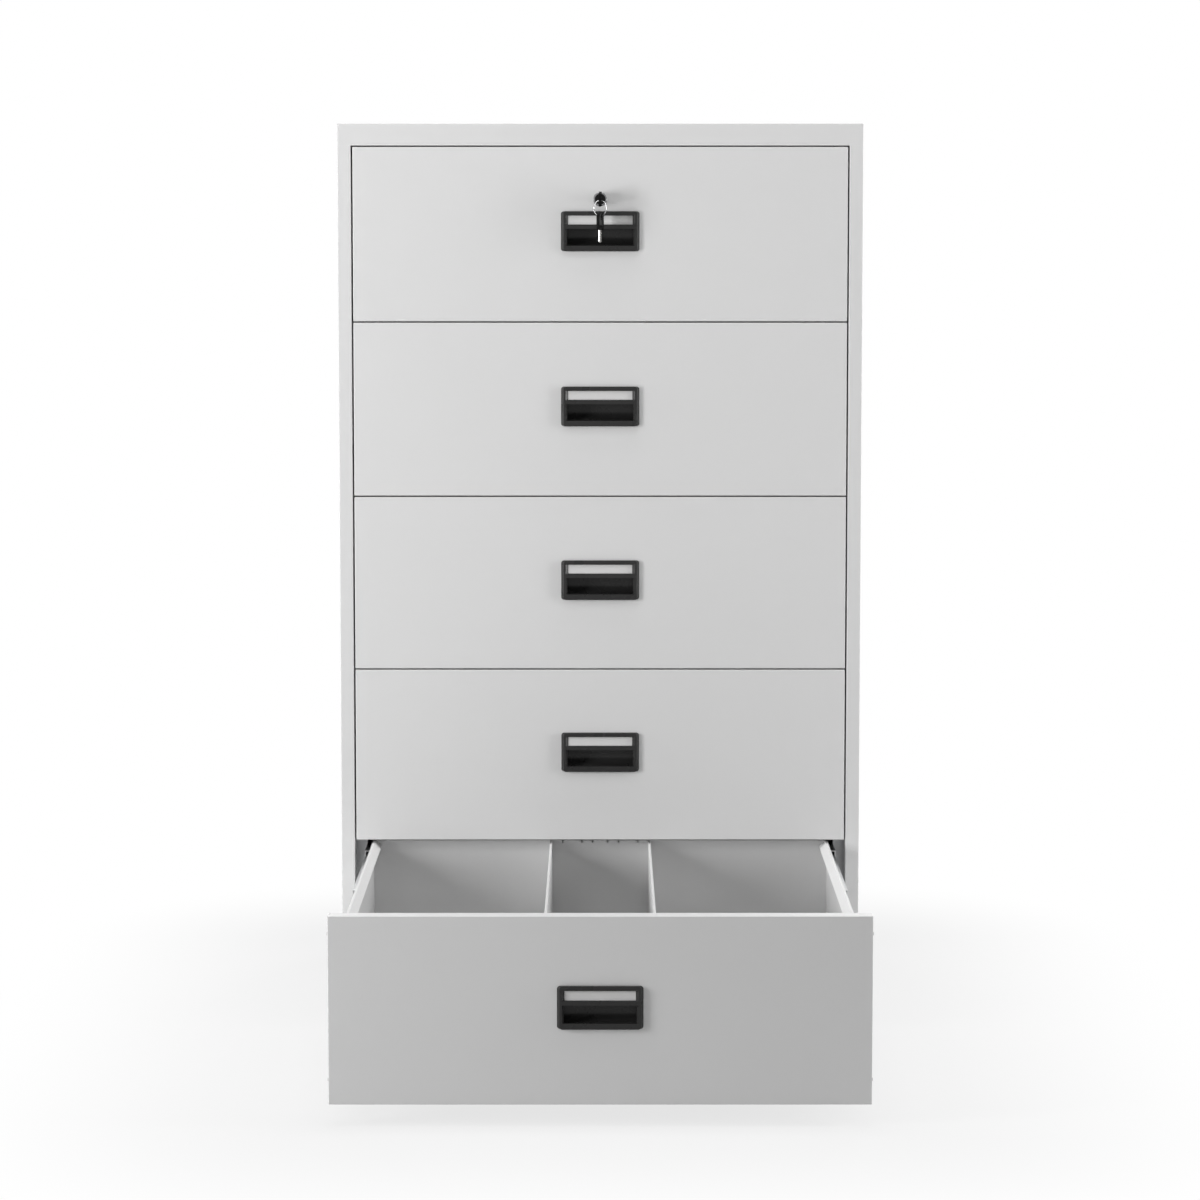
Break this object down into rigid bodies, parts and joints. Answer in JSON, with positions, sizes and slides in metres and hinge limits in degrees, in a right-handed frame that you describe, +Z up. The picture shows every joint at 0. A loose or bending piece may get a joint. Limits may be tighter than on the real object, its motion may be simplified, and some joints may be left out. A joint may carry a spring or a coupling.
{
  "type": "filing cabinet",
  "caption": "Lateral steel filing cabinet with full-width drawers on telescopic runners, recessed black handles and a cylinder lock; the bottom drawer stands open.",
  "frame": {"origin": "on the floor, under the middle of the carcass", "axes": "+Z up, -Y out of the drawer fronts, +X to the right as seen from the front"},
  "size_m": [0.775, 1.195, 1.355],
  "materials": {
    "grey_paint": "fine satin powder coat, light grey",
    "zinc_steel": "bright zinc plated steel",
    "black_plastic": "fine grained moulded plastic, black",
    "label_card": "plain light grey card",
    "bumper_rubber": "soft grey rubber",
    "chrome": "polished chrome plate",
    "dark_plug": "black nickel plate"
  },
  "bodies": {
    "cabinet": {"top_cap": "grey_paint", "side_panel_left": "grey_paint", "side_panel_right": "grey_paint", "back_panel": "grey_paint", "base_pan": "grey_paint", "uprights": "zinc_steel", "cabinet_runners": "zinc_steel"},
    "drawer_1": {"drawer_1_front": "grey_paint", "drawer_1_tray": "grey_paint", "drawer_1_dividers": "grey_paint", "drawer_1_handle": "black_plastic", "drawer_1_label": "label_card", "drawer_1_runners": "zinc_steel", "drawer_1_bumpers": "bumper_rubber", "lock_housing": "chrome", "lock_nut": "zinc_steel"},
    "middle_runners_1": {"middle_runners_1": "zinc_steel"},
    "drawer_2": {"drawer_2_front": "grey_paint", "drawer_2_tray": "grey_paint", "drawer_2_dividers": "grey_paint", "drawer_2_handle": "black_plastic", "drawer_2_label": "label_card", "drawer_2_runners": "zinc_steel", "drawer_2_bumpers": "bumper_rubber"},
    "middle_runners_2": {"middle_runners_2": "zinc_steel"},
    "drawer_3": {"drawer_3_front": "grey_paint", "drawer_3_tray": "grey_paint", "drawer_3_dividers": "grey_paint", "drawer_3_handle": "black_plastic", "drawer_3_label": "label_card", "drawer_3_runners": "zinc_steel", "drawer_3_bumpers": "bumper_rubber"},
    "middle_runners_3": {"middle_runners_3": "zinc_steel"},
    "drawer_4": {"drawer_4_front": "grey_paint", "drawer_4_tray": "grey_paint", "drawer_4_dividers": "grey_paint", "drawer_4_handle": "black_plastic", "drawer_4_label": "label_card", "drawer_4_runners": "zinc_steel", "drawer_4_bumpers": "bumper_rubber"},
    "middle_runners_4": {"middle_runners_4": "zinc_steel"},
    "drawer_5": {"drawer_5_front": "grey_paint", "drawer_5_tray": "grey_paint", "drawer_5_dividers": "grey_paint", "drawer_5_handle": "black_plastic", "drawer_5_label": "label_card", "drawer_5_runners": "zinc_steel", "drawer_5_bumpers": "bumper_rubber"},
    "middle_runners_5": {"middle_runners_5": "zinc_steel"},
    "lock_plug": {"lock_plug": "dark_plug", "lock_cam": "zinc_steel"},
    "lock_bolt": {"lock_bolt": "zinc_steel"},
    "key": {"key": "black_plastic"},
    "key_ring": {"key_ring": "chrome"},
    "spare_key": {"spare_key": "black_plastic"},
    "interlock_bar": {"interlock_bar": "zinc_steel"},
    "levelling_foot_front_left": {"levelling_foot_front_left": "zinc_steel"},
    "levelling_foot_front_right": {"levelling_foot_front_right": "zinc_steel"},
    "levelling_foot_rear_left": {"levelling_foot_rear_left": "zinc_steel"},
    "levelling_foot_rear_right": {"levelling_foot_rear_right": "zinc_steel"}
  },
  "joints": [
    {"name": "drawer_1_slide", "type": "slide", "parent": "cabinet", "child": "drawer_1", "axis": [0, -1, 0], "range_m": [0, 0.56]},
    {"name": "middle_runners_1_slide", "type": "slide", "parent": "cabinet", "child": "middle_runners_1", "axis": [0, -1, 0], "range_m": [0, 0.28]},
    {"name": "drawer_2_slide", "type": "slide", "parent": "cabinet", "child": "drawer_2", "axis": [0, -1, 0], "range_m": [0, 0.56]},
    {"name": "middle_runners_2_slide", "type": "slide", "parent": "cabinet", "child": "middle_runners_2", "axis": [0, -1, 0], "range_m": [0, 0.28]},
    {"name": "drawer_3_slide", "type": "slide", "parent": "cabinet", "child": "drawer_3", "axis": [0, -1, 0], "range_m": [0, 0.56]},
    {"name": "middle_runners_3_slide", "type": "slide", "parent": "cabinet", "child": "middle_runners_3", "axis": [0, -1, 0], "range_m": [0, 0.28]},
    {"name": "drawer_4_slide", "type": "slide", "parent": "cabinet", "child": "drawer_4", "axis": [0, -1, 0], "range_m": [0, 0.56]},
    {"name": "middle_runners_4_slide", "type": "slide", "parent": "cabinet", "child": "middle_runners_4", "axis": [0, -1, 0], "range_m": [0, 0.28]},
    {"name": "drawer_5_slide", "type": "slide", "parent": "cabinet", "child": "drawer_5", "axis": [0, -1, 0], "range_m": [-0.56, 0]},
    {"name": "middle_runners_5_slide", "type": "slide", "parent": "cabinet", "child": "middle_runners_5", "axis": [0, -1, 0], "range_m": [-0.28, 0]},
    {"name": "lock_turn", "type": "hinge", "parent": "drawer_1", "child": "lock_plug", "pos_m": [0, -0.315, 1.24405], "axis": [0, 1, 0], "range_deg": [0, 90]},
    {"name": "lock_bolt_slide", "type": "slide", "parent": "drawer_1", "child": "lock_bolt", "axis": [0, 0, 1], "range_m": [0, 0.012]},
    {"name": "key_slide", "type": "slide", "parent": "lock_plug", "child": "key", "axis": [0, -1, 0], "range_m": [0, 0.02]},
    {"name": "key_ring_swing", "type": "hinge", "parent": "key", "child": "key_ring", "pos_m": [0, -0.3374, 1.24205], "axis": [0.8192, -0.5736, 0], "range_deg": [-35, 6]},
    {"name": "spare_key_swing", "type": "hinge", "parent": "key_ring", "child": "spare_key", "pos_m": [0, -0.3374, 1.21965], "axis": [0.8192, -0.5736, 0], "range_deg": [-20, 6]},
    {"name": "interlock_bar_slide", "type": "slide", "parent": "cabinet", "child": "interlock_bar", "axis": [0, 0, 1], "range_m": [0, 0.008]},
    {"name": "levelling_foot_front_left_turn", "type": "hinge", "parent": "cabinet", "child": "levelling_foot_front_left", "pos_m": [-0.3325, -0.275, 0], "axis": [0, 0, 1], "continuous": true},
    {"name": "levelling_foot_front_right_turn", "type": "hinge", "parent": "cabinet", "child": "levelling_foot_front_right", "pos_m": [0.3325, -0.275, 0], "axis": [0, 0, 1], "continuous": true},
    {"name": "levelling_foot_rear_left_turn", "type": "hinge", "parent": "cabinet", "child": "levelling_foot_rear_left", "pos_m": [-0.3325, 0.275, 0], "axis": [0, 0, 1], "continuous": true},
    {"name": "levelling_foot_rear_right_turn", "type": "hinge", "parent": "cabinet", "child": "levelling_foot_rear_right", "pos_m": [0.3325, 0.275, 0], "axis": [0, 0, 1], "continuous": true}
  ],
  "couplings": [
    {"joint": "middle_runners_1_slide", "follows": "drawer_1_slide", "ratio": 0.5},
    {"joint": "middle_runners_2_slide", "follows": "drawer_2_slide", "ratio": 0.5},
    {"joint": "middle_runners_3_slide", "follows": "drawer_3_slide", "ratio": 0.5},
    {"joint": "middle_runners_4_slide", "follows": "drawer_4_slide", "ratio": 0.5},
    {"joint": "middle_runners_5_slide", "follows": "drawer_5_slide", "ratio": 0.5},
    {"joint": "lock_bolt_slide", "follows": "lock_turn", "m_per_rad": 0.0076394}
  ]
}
